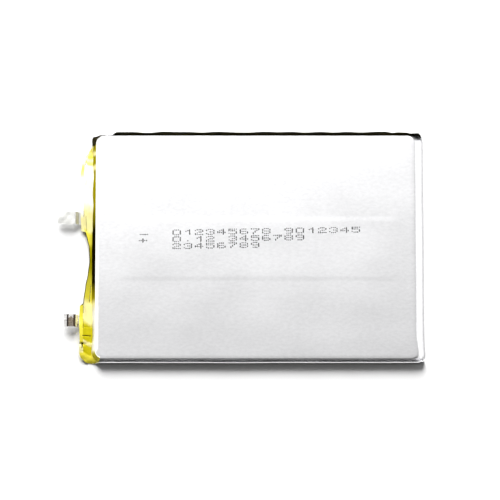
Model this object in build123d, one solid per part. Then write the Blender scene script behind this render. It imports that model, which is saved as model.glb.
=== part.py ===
from build123d import *
import os
from math import hypot

# A pouch cell: a wound electrode roll sealed in a bag of aluminium laminate, with two foil tabs.
# Millimetres. The origin is the middle of the 111 x 75 footprint, on the flat underside. +X runs to
# the closed fold of the bag, the tabs leave at -X, and +Z points out of the drawn face.
# The bag is one folded sheet. Its drawn half is pouch_cup and its flat half is pouch_cover.

# ---- Cell ----
CELL_LENGTH = 111.0
CELL_THICKNESS = 3.5
LAMINATE = 0.11
LEFT_END = -CELL_LENGTH / 2

# ---- Drawn cup: its face, and its foot, where the walls meet the seal ----
FACE_LEFT, FACE_RIGHT, FACE_HALF_WIDTH = -50.3, 53.1, 36.45
FOOT_LEFT, FOOT_RIGHT, FOOT_HALF_WIDTH = -51.6, 55.35, 36.9
CORNER_RADIUS = 2.5
FACE_EDGE_RADIUS = 0.7
SEAL_Z = LAMINATE

# ---- Side seals, folded up beside the walls ----
FOLD_Y = 37.45
FOLD_RADIUS = 0.25
SEAL_HALF_WIDTH = FOLD_Y - 0.4
FLANGE_ROOT_Y = FOOT_HALF_WIDTH - 0.6
FLANGE_TOP_Y, FLANGE_TOP_Z = 38.0, 2.9
FLANGE_LEFT, FLANGE_RIGHT = -51.2, 55.0

# ---- Terrace: the tab-end seal, which slopes up and out from the foot of the end wall ----
TERRACE_BEND_X = FOOT_LEFT - 0.16
TERRACE_EDGE = -54.4
TERRACE_TOP_X, TERRACE_TOP_Z = LEFT_END - 0.1, 1.33
TERRACE_BEND_RADIUS = 1.0
TERRACE_NEAR_Y, TERRACE_FAR_Y = -34.8, 29.0
TERRACE_ROOT_Y = 36.5
TERRACE_NEAR_CUT = 1.7
TERRACE_FAR_CUT_X, TERRACE_FAR_CUT_Y = 2.1, 0.4
OUTLINE_ROOT_X, SHEET_ROOT_X, TUNNEL_ROOT_X = FOOT_LEFT + 1.5, FOOT_LEFT + 0.4, FOOT_LEFT + 0.5
# A shape that another one trims starts this much larger than what is kept of it.
SPARE = 1.0
TERRACE_SPAN = 2 * TERRACE_ROOT_Y + 4 * SPARE

# ---- Tabs and the sealant films around them ----
POSITIVE_Y, NEGATIVE_Y = 9.6, -24.1
TAB_WIDTH, TAB = 4.0, 0.1
POSITIVE_TIP, NEGATIVE_TIP = -62.6, -60.35
HINGE_X = -56.3
HINGE_CLEARANCE = 0.002
FILM_WIDTH, FILM = 6.0, 0.08
FILM_OUTER, FILM_INNER = -55.0, -50.7
TAB_INNER = -30.0
RAMP_OUTER, RAMP_INNER = -50.4, -49.2
RAMP_RADIUS = 0.5
CREASE_RISE, CREASE_OUTER, CREASE_INNER, CREASE_RAMP = 0.55, -59.5, -56.75, 0.35
CREASE_RADIUS = 0.2
TAB_STACK = FILM + TAB + FILM

# ---- Yellow tape round the terrace ----
TAPE = 0.06
TAPE_TOP_Z = 3.1
TAPE_WALL_RIGHT = -50.75
TAPE_UNDER_RIGHT = -52.1
TAPE_ZONE_HALF_WIDTH = 40.0

# ---- Wound roll: a flattened spiral with straights 2 x ROLL_HALF_STRAIGHT long ----
SEPARATOR, FOIL, COATING, GAP = 0.04, 0.045, 0.05, 0.004
ROLL_HALF_STRAIGHT = 34.7
CORE_HALF_GAP = 0.065
LAST_LAP = 3
SEPARATOR_LEFT, SEPARATOR_RIGHT = -48.6, 52.4
ANODE_MARGIN, CATHODE_MARGIN = 0.7, 1.2
CLOSING_TAPE = 0.05
CLOSING_TAPE_LEFT, CLOSING_TAPE_RIGHT, CLOSING_TAPE_HALF_WIDTH = -42.0, 46.5, 10.0
CLOSING_STEP_HIGH_Y, CLOSING_STEP_LOW_Y, CLOSING_STEP_RADIUS = -0.8, 3.4, 1.0
WELD_TAPE, WELD_TAPE_WIDTH, WELD_TAPE_LENGTH = 0.05, 8.0, 20.0
WELD_TAPE_LEFT = SEPARATOR_LEFT + 0.6

# Y at which each strip starts, on the roll's first upper straight, and ends, on its last.
SEPARATOR_INNER_ENDS = (-16.0, -0.5)
SEPARATOR_OUTER_ENDS = (-31.0, -1.0)
ANODE_ENDS = (-31.0, -1.5)
ANODE_INNER_ENDS = (-12.0, -1.5)
CATHODE_ENDS = (-29.0, -2.0)
CATHODE_OUTER_ENDS = (-29.0, 30.0)

# Where each strip of the roll lies, from the inside of its lap out.
ANODE_INNER_Z = SEPARATOR + GAP
ANODE_FOIL_Z = ANODE_INNER_Z + COATING
ANODE_OUTER_Z = ANODE_FOIL_Z + FOIL
SEPARATOR_OUTER_Z = ANODE_OUTER_Z + COATING + GAP
CATHODE_INNER_Z = SEPARATOR_OUTER_Z + SEPARATOR + GAP
CATHODE_FOIL_Z = CATHODE_INNER_Z + COATING
CATHODE_OUTER_Z = CATHODE_FOIL_Z + FOIL
PITCH = CATHODE_OUTER_Z + COATING + GAP

# The outermost straight under the roll is bare cathode foil, which rests on the positive tab.
BARE_FOIL_BELOW_CENTRE = CORE_HALF_GAP + (LAST_LAP - 0.5) * PITCH + CATHODE_OUTER_Z
ROLL_Z = SEAL_Z + FILM + TAB + BARE_FOIL_BELOW_CENTRE
NEGATIVE_TAB_Z = ROLL_Z + CORE_HALF_GAP + ANODE_FOIL_Z - TAB


def lap_height(lap, depth):
    """Height above the roll's centre of a lap's upper straight, at a depth into its stack of strips."""
    return CORE_HALF_GAP + lap * PITCH + depth


# ---- Bent sheets ----

def moved_corners(points, distance):
    """The corners of a polyline moved to the left of its direction."""
    directions = []
    for (x0, y0), (x1, y1) in zip(points, points[1:]):
        run = hypot(x1 - x0, y1 - y0)
        directions.append(((x1 - x0) / run, (y1 - y0) / run))
    before = [directions[0], *directions]
    after = [*directions, directions[-1]]
    moved = []
    for (x, y), (ax, ay), (bx, by) in zip(points, before, after):
        scale = distance / (1 + ax * bx + ay * by)
        moved.append((x - scale * (ay + by), y + scale * (ax + bx)))
    return moved


def turn_signs(points):
    """1 for each corner that turns left and -1 for each that turns right."""
    signs = []
    for (x0, y0), (x1, y1), (x2, y2) in zip(points, points[1:], points[2:]):
        cross = (x1 - x0) * (y2 - y1) - (y1 - y0) * (x2 - x1)
        signs.append(1 if cross > 0 else -1)
    return signs


def bent_sheet(points, radii, low, high):
    """The section of a sheet that follows a bent line, from low to high on its left."""
    sides = []
    for distance in (low, high):
        corners = moved_corners(points, distance)
        if radii:
            signs = turn_signs(points)
            rounded = [r - sign * distance for r, sign in zip(radii, signs)]
            sides.append(FilletPolyline(*corners, radius=rounded))
        else:
            sides.append(Line(*corners))
    ends = [Line(sides[0] @ end, sides[1] @ end) for end in (0, 1)]
    return make_face([*sides[0].edges(), *sides[1].edges(), *ends])


def across(section, width, centre_y):
    """A section drawn in X and Z, extruded to a width about centre_y."""
    return Pos(0, centre_y, 0) * extrude(Plane.XZ * section, amount=width / 2, both=True)


def along(section, x_low, x_high):
    """A section drawn in Y and Z, extruded from x_low to x_high."""
    return Pos(x_low, 0, 0) * extrude(Plane.YZ * section, amount=x_high - x_low)


def slab(x_low, x_high, y_low, y_high, z_low, z_high):
    return Pos(x_low, y_low, z_low) * Box(
        x_high - x_low, y_high - y_low, z_high - z_low, align=(Align.MIN,) * 3
    )


# ---- Bag ----

def cup_form(inset):
    """The drawn cup as a solid, smaller by inset on its walls and face."""
    outlines = []
    for z, left, right, half_width in (
        (SEAL_Z, FOOT_LEFT, FOOT_RIGHT, FOOT_HALF_WIDTH),
        (CELL_THICKNESS - inset, FACE_LEFT, FACE_RIGHT, FACE_HALF_WIDTH),
    ):
        size = (right - left - 2 * inset, 2 * (half_width - inset))
        outline = RectangleRounded(*size, CORNER_RADIUS - inset)
        outlines.append(Pos((left + right) / 2, 0, z) * outline)
    form = loft(outlines, ruled=True)
    face_edges = form.faces().sort_by(Axis.Z)[-1].edges()
    return fillet(face_edges, FACE_EDGE_RADIUS - inset)


def terrace_line(x_outer, x_inner):
    """The seal line of the terrace, from x_outer up on the slope to x_inner on the flat."""
    slope = (TERRACE_TOP_Z - SEAL_Z) / (TERRACE_BEND_X - TERRACE_TOP_X)
    outer_z = SEAL_Z + slope * (TERRACE_BEND_X - x_outer)
    return [(x_outer, outer_z), (TERRACE_BEND_X, SEAL_Z), (x_inner, SEAL_Z)]


def terrace_layer(x_outer, x_inner, low, high, width, centre_y):
    section = bent_sheet(terrace_line(x_outer, x_inner), [TERRACE_BEND_RADIUS], low, high)
    return across(section, width, centre_y)


def terrace_outline(grow):
    """A tall prism on the terrace's plan, with its cut corners, larger by grow on its free sides."""
    edge = TERRACE_EDGE - grow
    plan = Polyline(
        (OUTLINE_ROOT_X, -TERRACE_ROOT_Y - grow / 2),
        (edge + TERRACE_NEAR_CUT, -TERRACE_ROOT_Y - grow / 2),
        (edge, TERRACE_NEAR_Y - grow / 2),
        (edge, TERRACE_FAR_Y + grow / 2),
        (edge + TERRACE_FAR_CUT_X, TERRACE_ROOT_Y - TERRACE_FAR_CUT_Y),
        (OUTLINE_ROOT_X, TERRACE_ROOT_Y + grow / 2),
        close=True,
    )
    return extrude(make_face(plan), amount=CELL_THICKNESS)


def side_flanges(low, high):
    """Both folded side seals, from low to high on the inner side of the seal line."""
    line = [(FLANGE_ROOT_Y, SEAL_Z), (FOLD_Y, SEAL_Z), (FLANGE_TOP_Y, FLANGE_TOP_Z)]
    far = along(bent_sheet(line, [FOLD_RADIUS], low, high), FLANGE_LEFT, FLANGE_RIGHT)
    return far + mirror(far, about=Plane.XZ)


def tab_tunnels(high, width, x_outer, x_inner):
    """The raised strips of terrace over the two tabs."""
    return [
        terrace_layer(x_outer, x_inner, 0, high, width, y) for y in (POSITIVE_Y, NEGATIVE_Y)
    ]


def terrace_sheet(low, high):
    sheet = terrace_layer(TERRACE_EDGE - SPARE, SHEET_ROOT_X, low, high, TERRACE_SPAN, 0)
    return sheet & terrace_outline(0)


def pouch_cup():
    foot = slab(
        FOOT_LEFT, FOOT_RIGHT, -SEAL_HALF_WIDTH, SEAL_HALF_WIDTH, SEAL_Z, SEAL_Z + LAMINATE
    )
    solid = cup_form(0) + foot + side_flanges(0, LAMINATE) + terrace_sheet(0, LAMINATE)
    for tunnel in tab_tunnels(
        TAB_STACK + LAMINATE, FILM_WIDTH + 2 * LAMINATE, TERRACE_EDGE, TUNNEL_ROOT_X
    ):
        solid += tunnel
    solid -= cup_form(LAMINATE)
    for tunnel in tab_tunnels(TAB_STACK, FILM_WIDTH, TERRACE_EDGE - SPARE, OUTLINE_ROOT_X):
        solid -= tunnel
    return solid


def pouch_cover():
    sheet = slab(FOOT_LEFT, FOOT_RIGHT, -SEAL_HALF_WIDTH, SEAL_HALF_WIDTH, 0, SEAL_Z)
    return sheet + side_flanges(-LAMINATE, 0) + terrace_sheet(-LAMINATE, 0)


# ---- Tabs ----

def rounded_end(section, centre):
    """A sheet's section with a round end at the hinge."""
    return section + Pos(*centre) * Circle(TAB / 2)


def tab_root(y, inner_z):
    """The sealed part of a tab, from the roll out to the hinge."""
    line = [
        (HINGE_X + TAB / 2 + HINGE_CLEARANCE, TERRACE_TOP_Z),
        (TERRACE_TOP_X, TERRACE_TOP_Z),
        (TERRACE_BEND_X, SEAL_Z),
    ]
    radii = [RAMP_RADIUS, TERRACE_BEND_RADIUS]
    if inner_z > SEAL_Z:
        line += [(RAMP_OUTER, SEAL_Z), (RAMP_INNER, inner_z)]
        radii += [RAMP_RADIUS, RAMP_RADIUS]
    line.append((TAB_INNER, inner_z))
    return across(bent_sheet(line, radii, FILM, FILM + TAB), TAB_WIDTH, y)


def positive_lead():
    low = TERRACE_TOP_Z + FILM
    strip = bent_sheet([(POSITIVE_TIP, low), (HINGE_X, low)], [], 0, TAB)
    return across(rounded_end(strip, (HINGE_X, low + TAB / 2)), TAB_WIDTH, POSITIVE_Y)


def negative_lead():
    """The shorter tab, with a raised crease across it."""
    low = TERRACE_TOP_Z + FILM
    line = [
        (NEGATIVE_TIP, low),
        (CREASE_OUTER, low),
        (CREASE_OUTER + CREASE_RAMP, low + CREASE_RISE),
        (CREASE_INNER - CREASE_RAMP, low + CREASE_RISE),
        (CREASE_INNER, low),
        (HINGE_X, low),
    ]
    strip = bent_sheet(line, [CREASE_RADIUS] * 4, 0, TAB)
    return across(rounded_end(strip, (HINGE_X, low + TAB / 2)), TAB_WIDTH, NEGATIVE_Y)


def tab_film(low, high, y, root):
    return terrace_layer(FILM_OUTER, FILM_INNER, low, high, FILM_WIDTH, y) - root


def weld_tape(y, top_z):
    return slab(
        WELD_TAPE_LEFT,
        WELD_TAPE_LEFT + WELD_TAPE_LENGTH,
        y - WELD_TAPE_WIDTH / 2,
        y + WELD_TAPE_WIDTH / 2,
        top_z - WELD_TAPE,
        top_z,
    )


# ---- Terrace tape ----

def tape_upper(cup, covered):
    """The upper strip, over the terrace and up the end wall."""
    thickness = LAMINATE + TAPE
    over = terrace_layer(LEFT_END - SPARE, SHEET_ROOT_X, 0, thickness, TERRACE_SPAN, 0)
    tunnels = tab_tunnels(
        TAB_STACK + thickness,
        FILM_WIDTH + 2 * thickness,
        LEFT_END,
        TUNNEL_ROOT_X,
    )
    wall_zone = slab(
        FOOT_LEFT - SPARE,
        TAPE_WALL_RIGHT,
        -TAPE_ZONE_HALF_WIDTH,
        TAPE_ZONE_HALF_WIDTH,
        SEAL_Z + LAMINATE,
        TAPE_TOP_Z,
    )
    solid = (over & terrace_outline(TERRACE_EDGE - LEFT_END)) + (cup_form(-TAPE) & wall_zone)
    for tunnel in tunnels:
        solid += tunnel
    solid = solid - cup_form(0) - cup
    for piece in covered:
        solid -= piece
    return solid


def tape_under(cover):
    """The lower strip, under the terrace."""
    thickness = LAMINATE + TAPE
    sheet = terrace_layer(LEFT_END - SPARE, SHEET_ROOT_X, -thickness, 0, TERRACE_SPAN, 0)
    zone = slab(
        LEFT_END - 2 * SPARE,
        TAPE_UNDER_RIGHT,
        -TAPE_ZONE_HALF_WIDTH,
        TAPE_ZONE_HALF_WIDTH,
        0,
        CELL_THICKNESS,
    )
    return (sheet & terrace_outline(TERRACE_EDGE - LEFT_END) & zone) - cover


# ---- Wound roll ----

def winding(depth, y_start, y_end, last_lap):
    """The edges of one spiral, starting on the first upper straight and ending on the last."""
    side = ROLL_HALF_STRAIGHT
    edges = []
    y = y_start
    for lap in range(last_lap):
        top = lap_height(lap, depth)
        bottom = -top - PITCH / 2
        next_top = top + PITCH
        right = side + (top - bottom) / 2
        left = -side - (next_top - bottom) / 2
        edges += [
            Line((y, top), (side, top)),
            ThreePointArc((side, top), (right, (top + bottom) / 2), (side, bottom)),
            Line((side, bottom), (-side, bottom)),
            ThreePointArc((-side, bottom), (left, (next_top + bottom) / 2), (-side, next_top)),
        ]
        y = -side
    top = lap_height(last_lap, depth)
    edges.append(Line((y, top), (y_end, top)))
    return edges


def strip(depth, thickness, y_start, y_end, margin=0.0, last_lap=LAST_LAP):
    """One wound layer of the roll."""
    inner = winding(depth, y_start, y_end, last_lap)
    outer = winding(depth + thickness, y_start, y_end, last_lap)
    start = Line(inner[0] @ 0, outer[0] @ 0)
    end = Line(inner[-1] @ 1, outer[-1] @ 1)
    section = make_face([*inner, *outer, start, end])
    return Pos(0, 0, ROLL_Z) * along(section, SEPARATOR_LEFT + margin, SEPARATOR_RIGHT - margin)


def closing_tape():
    """The strip that holds the roll's outer end down, stepping from the last lap to the one below."""
    high = ROLL_Z + lap_height(LAST_LAP, CATHODE_OUTER_Z)
    low = ROLL_Z + lap_height(LAST_LAP - 1, CATHODE_OUTER_Z + COATING)
    half = CLOSING_TAPE_HALF_WIDTH
    line = [(-half, high), (CLOSING_STEP_HIGH_Y, high), (CLOSING_STEP_LOW_Y, low), (half, low)]
    section = bent_sheet(line, [CLOSING_STEP_RADIUS] * 2, 0, CLOSING_TAPE)
    return along(section, CLOSING_TAPE_LEFT, CLOSING_TAPE_RIGHT)


def roll_strips():
    anode, cathode = ANODE_MARGIN, CATHODE_MARGIN
    return {
        "separator_inner": strip(0, SEPARATOR, *SEPARATOR_INNER_ENDS),
        "anode_coating_inner": strip(ANODE_INNER_Z, COATING, *ANODE_INNER_ENDS, anode),
        "anode_foil": strip(ANODE_FOIL_Z, FOIL, *ANODE_ENDS, anode),
        "anode_coating_outer": strip(ANODE_OUTER_Z, COATING, *ANODE_ENDS, anode),
        "separator_outer": strip(SEPARATOR_OUTER_Z, SEPARATOR, *SEPARATOR_OUTER_ENDS),
        "cathode_coating_inner": strip(CATHODE_INNER_Z, COATING, *CATHODE_ENDS, cathode),
        "cathode_foil": strip(CATHODE_FOIL_Z, FOIL, *CATHODE_ENDS, cathode),
        "cathode_coating_outer": strip(
            CATHODE_OUTER_Z, COATING, *CATHODE_OUTER_ENDS, cathode, LAST_LAP - 1
        ),
        "roll_closing_tape": closing_tape(),
    }


# ---- Assembly ----

def cell():
    nodes = roll_strips()
    cup, cover = pouch_cup(), pouch_cover()
    roots = {
        "positive": tab_root(POSITIVE_Y, SEAL_Z),
        "negative": tab_root(NEGATIVE_Y, NEGATIVE_TAB_Z - FILM),
    }
    middle = FILM + TAB / 2
    covered = []
    for name, y in (("positive", POSITIVE_Y), ("negative", NEGATIVE_Y)):
        upper = tab_film(middle, TAB_STACK, y, roots[name])
        lower = tab_film(0, middle, y, roots[name])
        nodes[name + "_tab_root"] = roots[name]
        nodes[name + "_film_upper"] = upper
        nodes[name + "_film_lower"] = lower
        covered += [roots[name], upper, lower]
    nodes["positive_tab"] = positive_lead()
    nodes["negative_tab"] = negative_lead()
    nodes["positive_weld_tape"] = weld_tape(POSITIVE_Y, SEAL_Z + FILM)
    nodes["negative_weld_tape"] = weld_tape(NEGATIVE_Y, NEGATIVE_TAB_Z)
    nodes["pouch_cup"] = cup
    nodes["pouch_cover"] = cover
    nodes["terrace_tape_upper"] = tape_upper(cup, covered)
    nodes["terrace_tape_under"] = tape_under(cover)
    return nodes


os.makedirs("parts", exist_ok=True)
for node_name, node in cell().items():
    export_step(node, f"parts/{node_name}.step")
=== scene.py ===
from math import cos, pi, radians, sin, sqrt

import bpy
import numpy as np
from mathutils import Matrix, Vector


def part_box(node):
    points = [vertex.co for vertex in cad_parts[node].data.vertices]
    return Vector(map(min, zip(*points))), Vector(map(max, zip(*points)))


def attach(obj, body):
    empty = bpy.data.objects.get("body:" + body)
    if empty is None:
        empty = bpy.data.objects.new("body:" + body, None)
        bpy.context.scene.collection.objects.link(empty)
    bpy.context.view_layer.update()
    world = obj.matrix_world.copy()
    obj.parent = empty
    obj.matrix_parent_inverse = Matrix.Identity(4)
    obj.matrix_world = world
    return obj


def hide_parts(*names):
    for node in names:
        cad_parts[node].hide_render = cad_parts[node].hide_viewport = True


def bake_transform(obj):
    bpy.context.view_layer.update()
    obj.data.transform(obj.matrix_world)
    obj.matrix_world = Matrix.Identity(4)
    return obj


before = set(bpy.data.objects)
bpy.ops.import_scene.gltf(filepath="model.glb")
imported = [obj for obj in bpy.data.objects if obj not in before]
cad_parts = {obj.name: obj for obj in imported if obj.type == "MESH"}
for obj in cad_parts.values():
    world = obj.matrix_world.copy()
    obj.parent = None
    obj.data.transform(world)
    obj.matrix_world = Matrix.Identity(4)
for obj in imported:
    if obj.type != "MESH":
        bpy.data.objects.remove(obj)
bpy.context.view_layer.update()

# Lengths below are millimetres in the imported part's frame: +X to the folded end, tabs at -X, +Z up.
MM = 0.001


def node_box(name):
    """The lowest and highest corner of a CAD node, in millimetres."""
    low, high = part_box(name)
    return np.array(low) / MM, np.array(high) / MM


CUP_HIGH = node_box("pouch_cup")[1]
COVER_HIGH = node_box("pouch_cover")[1]
FACE_Z = CUP_HIGH[2]
LAMINATE = 0.11
TAPE = 0.06
# Layers that lie on each other are this far apart.
GAP = 0.004

# The drawn cup: its face and its foot, as in the CAD, and the roundings of its edges.
FACE_LEFT, FACE_RIGHT, FACE_HALF = -50.3, 53.1, 36.45
FOOT_LEFT, FOOT_RIGHT, FOOT_HALF = -51.6, CUP_HIGH[0], 36.9
CORNER = 2.5
FACE_EDGE = 0.32
FOOT_EDGE = 0.25
FOOT_Z = 2 * LAMINATE

# The folded side seals: where they fold up, and their cut edges.
FOLD_Y = 37.45
FLANGE_Y, FLANGE_Z = COVER_HIGH[1], COVER_HIGH[2]
FLANGE_LEFT, FLANGE_RIGHT = -51.2, 55.7

# The terrace, from the foot of the end wall to its top, and the tabs that pass through it.
SEAL_Z = LAMINATE
TERRACE_BEND = -51.76
TERRACE_TOP = -55.6
TERRACE_WIDTH = 3.0
FILM, TAB = 0.08, 0.1
TAB_STACK = 2 * FILM + TAB
SEALED_TAB_Z = SEAL_Z + FILM + TAB
TAB_NAMES = ("positive", "negative")
TAB_BOX = {name: node_box(name + "_tab") for name in TAB_NAMES}
TAB_Y = {name: (low[1] + high[1]) / 2 for name, (low, high) in TAB_BOX.items()}


# ---- Small maths ----

def smooth(low, high, value):
    """0 below low, 1 above high, and a smooth step between."""
    t = np.clip((value - low) / (high - low), 0, 1)
    return t * t * (3 - 2 * t)


def rising(place, half_width, value):
    """A smooth step from 0 to 1 round place."""
    return smooth(place - half_width, place + half_width, value)


def until(amount, start, end, x):
    """amount up to start, and none from end on."""
    return amount * (1 - smooth(start, end, x))


def beyond(amount, start, end, x):
    """None up to start, and amount from end on."""
    return amount * smooth(start, end, x)


def hump(centre, half_width, value):
    """1 at centre, falling smoothly to 0 at half_width away."""
    return 1 - smooth(0, half_width, np.abs(value - centre))


WAVE_COUNT = 7


def waves(look, x, y):
    """Smooth noise with a look of (height, wavelength, seed), as a sum of seeded waves."""
    height, wavelength, seed = look
    rng = np.random.default_rng(seed)
    total = 0 * x
    for _ in range(WAVE_COUNT):
        angle = rng.uniform(0, pi)
        length = wavelength * rng.uniform(0.6, 1.8)
        phase = rng.uniform(0, 2 * pi)
        total = total + np.sin(2 * pi * (x * cos(angle) + y * sin(angle)) / length + phase)
    return height * total / sqrt(WAVE_COUNT)


def through(stations, positions):
    """Rows of numbers at stations (position, *values), read at positions and eased between."""
    table = np.array(sorted(stations), float)
    index = np.clip(np.searchsorted(table[:, 0], positions) - 1, 0, len(table) - 2)
    start, end = table[index], table[index + 1]
    t = np.clip((positions - start[:, 0]) / (end[:, 0] - start[:, 0]), 0, 1)
    t = (0.5 * t + 0.5 * t * t * (3 - 2 * t))[:, None]
    return (start + (end - start) * t)[:, 1:]


# ---- Meshes ----

def new_piece(name, points, faces, materials, face_slots=None, sharp_angle=40):
    """An object of that mesh, shaded smooth apart from edges sharper than sharp_angle degrees."""
    mesh = bpy.data.meshes.new(name)
    mesh.from_pydata((np.asarray(points, float) * MM).tolist(), [], faces)
    for material in materials:
        mesh.materials.append(material)
    mesh.polygons.foreach_set("use_smooth", [True] * len(faces))
    if face_slots is not None:
        mesh.polygons.foreach_set("material_index", face_slots)
    mesh.update()
    mesh.set_sharp_from_angle(angle=radians(sharp_angle))
    piece = bpy.data.objects.new(name, mesh)
    bpy.context.scene.collection.objects.link(piece)
    return piece


def grid_normals(grid):
    normals = np.cross(np.gradient(grid, axis=0), np.gradient(grid, axis=1))
    return normals / np.maximum(np.linalg.norm(normals, axis=2, keepdims=True), 1e-9)


def sheet_parts(grid, thickness):
    """Vertices, faces and the first rim face of a sheet, from its upper side and its thickness."""
    rows, columns = grid.shape[:2]
    under = grid - grid_normals(grid) * np.broadcast_to(thickness, grid.shape[:2])[..., None]
    points = np.concatenate([grid.reshape(-1, 3), under.reshape(-1, 3)])
    number = np.arange(rows * columns).reshape(rows, columns)
    a, b = number[:-1, :-1].ravel(), number[1:, :-1].ravel()
    c, d = number[1:, 1:].ravel(), number[:-1, 1:].ravel()
    lower = rows * columns
    upper_faces = np.stack([a, b, c, d], axis=1)
    lower_faces = np.stack([d, c, b, a], axis=1) + lower
    sides = number[:-1, 0], number[-1, :-1], number[:0:-1, -1], number[0, :0:-1]
    border = np.concatenate(sides)
    following = np.roll(border, -1)
    rim = np.stack([following, border, border + lower, following + lower], axis=1)
    faces = np.concatenate([upper_faces, lower_faces, rim])
    return points, faces, len(upper_faces) + len(lower_faces)


def sheet(name, grid, thickness, materials, rim_slot=0, upper_slots=0, lower_slots=0, sharp_angle=40):
    """A sheet piece. The slots say which material each side's faces take, all alike or one by one."""
    points, faces, rim_start = sheet_parts(grid, thickness)
    side = (grid.shape[0] - 1, grid.shape[1] - 1)
    slots = np.full(len(faces), rim_slot)
    slots[: rim_start // 2] = np.broadcast_to(upper_slots, side).ravel()
    slots[rim_start // 2 : rim_start] = np.broadcast_to(lower_slots, side).ravel()
    return new_piece(name, points, faces.tolist(), materials, slots.tolist(), sharp_angle)


# ---- Materials ----

# Blender's noise mostly lies between these two values.
NOISE_SPREAD = (0.3, 0.7)


def coordinates(tree, kind):
    """X, Y and Z of a kind of texture coordinate."""
    place = tree.nodes.new("ShaderNodeTexCoord")
    split = tree.nodes.new("ShaderNodeSeparateXYZ")
    tree.links.new(place.outputs[kind], split.inputs["Vector"])
    return split.outputs


def to_shader(material, value, socket):
    tree = material.node_tree
    tree.links.new(value, tree.nodes["Principled BSDF"].inputs[socket])


def map_range(tree, value, source, target):
    node = tree.nodes.new("ShaderNodeMapRange")
    node.inputs["From Min"].default_value, node.inputs["From Max"].default_value = source
    node.inputs["To Min"].default_value, node.inputs["To Max"].default_value = target
    tree.links.new(value, node.inputs["Value"])
    return node.outputs["Result"]


def added(tree, first, second):
    node = tree.nodes.new("ShaderNodeMath")
    tree.links.new(first, node.inputs[0])
    tree.links.new(second, node.inputs[1])
    return node.outputs["Value"]


def new_material(name, metallic, roughness, **sockets):
    """A Principled material. Every socket given here holds one value all over the surface."""
    material = bpy.data.materials.new(name)
    material.use_nodes = True
    shader = material.node_tree.nodes["Principled BSDF"]
    shader.inputs["Metallic"].default_value = metallic
    shader.inputs["Roughness"].default_value = roughness
    for socket, value in sockets.items():
        shader.inputs[socket.replace("_", " ")].default_value = value
    return material


def add_noise(material, scale, detail=3.0, roughness=0.55):
    """Noise in object space; scale is features per metre in X, Y and Z."""
    tree = material.node_tree
    place = tree.nodes.new("ShaderNodeTexCoord")
    stretch = tree.nodes.new("ShaderNodeMapping")
    stretch.inputs["Scale"].default_value = scale
    noise = tree.nodes.new("ShaderNodeTexNoise")
    noise.inputs["Scale"].default_value = 1.0
    noise.inputs["Detail"].default_value = detail
    noise.inputs["Roughness"].default_value = roughness
    tree.links.new(place.outputs["Object"], stretch.inputs["Vector"])
    tree.links.new(stretch.outputs["Vector"], noise.inputs["Vector"])
    return noise.outputs["Fac"]


def colour_from(material, factor, low, high):
    tree = material.node_tree
    ramp = tree.nodes.new("ShaderNodeValToRGB")
    for stop, position, colour in zip(ramp.color_ramp.elements, NOISE_SPREAD, (low, high)):
        stop.position = position
        stop.color = (*colour, 1)
    tree.links.new(factor, ramp.inputs["Fac"])
    to_shader(material, ramp.outputs["Color"], "Base Color")


def roughness_from(material, factor, rough, spread):
    span = (rough - spread, rough + spread)
    to_shader(material, map_range(material.node_tree, factor, NOISE_SPREAD, span), "Roughness")


def bump_from(material, factors, distances):
    """Bump from several height fields, each with its own height in metres."""
    tree = material.node_tree
    below = None
    for factor, distance in zip(factors, distances):
        bump = tree.nodes.new("ShaderNodeBump")
        bump.inputs["Distance"].default_value = distance
        tree.links.new(factor, bump.inputs["Height"])
        if below is not None:
            tree.links.new(below, bump.inputs["Normal"])
        below = bump.outputs["Normal"]
    to_shader(material, below, "Normal")


def plain_material(name, low, high, metallic, rough, scale, height, **sockets):
    """One noise, with scale features per metre, in the colour, the roughness and a bump of height."""
    material = new_material(name, metallic, rough, **sockets)
    noise = add_noise(material, scale)
    colour_from(material, noise, low, high)
    roughness_from(material, noise, rough, 0.06)
    bump_from(material, [noise], [height])
    return material


def laminate_material(name, low, high, metallic, rough):
    """Satin aluminium laminate: finely mottled, with rolling streaks along X and slow clouding."""
    material = new_material(name, metallic, rough)
    streaks = add_noise(material, (110, 1400, 400), detail=4.0)
    mottle = add_noise(material, (700, 1200, 900), detail=4.0, roughness=0.65)
    clouds = add_noise(material, (45, 90, 60), detail=2.0)
    colour_from(material, mottle, low, high)
    roughness_from(material, clouds, rough, 0.015)
    bump_from(material, [streaks, mottle], [1.0e-6, 1.2e-6])
    return material


TAPE_FOLDS = (420, 160, 420)
TAPE_COAT_ROUGHNESS = 0.12


def tape_base(name, metallic, rough, coat, specular):
    """Film tape before it has a colour, and the noise of the soft folds along it."""
    sockets = {
        "Coat_Weight": coat, "Coat_Roughness": TAPE_COAT_ROUGHNESS, "Specular_IOR_Level": specular
    }
    material = new_material(name, metallic, rough, **sockets)
    return material, add_noise(material, TAPE_FOLDS)


def tape_material(name, low, high, metallic, rough, coat):
    """Glossy film tape in one colour, with soft folds and fine wrinkles."""
    material, folds = tape_base(name, metallic, rough, coat, specular=0.2)
    fine = add_noise(material, (1500, 1500, 1500), detail=2.0)
    colour_from(material, folds, low, high)
    roughness_from(material, fine, rough, 0.05)
    bump_from(material, [folds, fine], [6e-6, 2e-6])
    return material


# How much darker and lighter than its tone the banded tape is, along its folds.
MOTTLING = (0.84, 1.10)
BANDED_ROUGHNESS = 0.29


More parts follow.
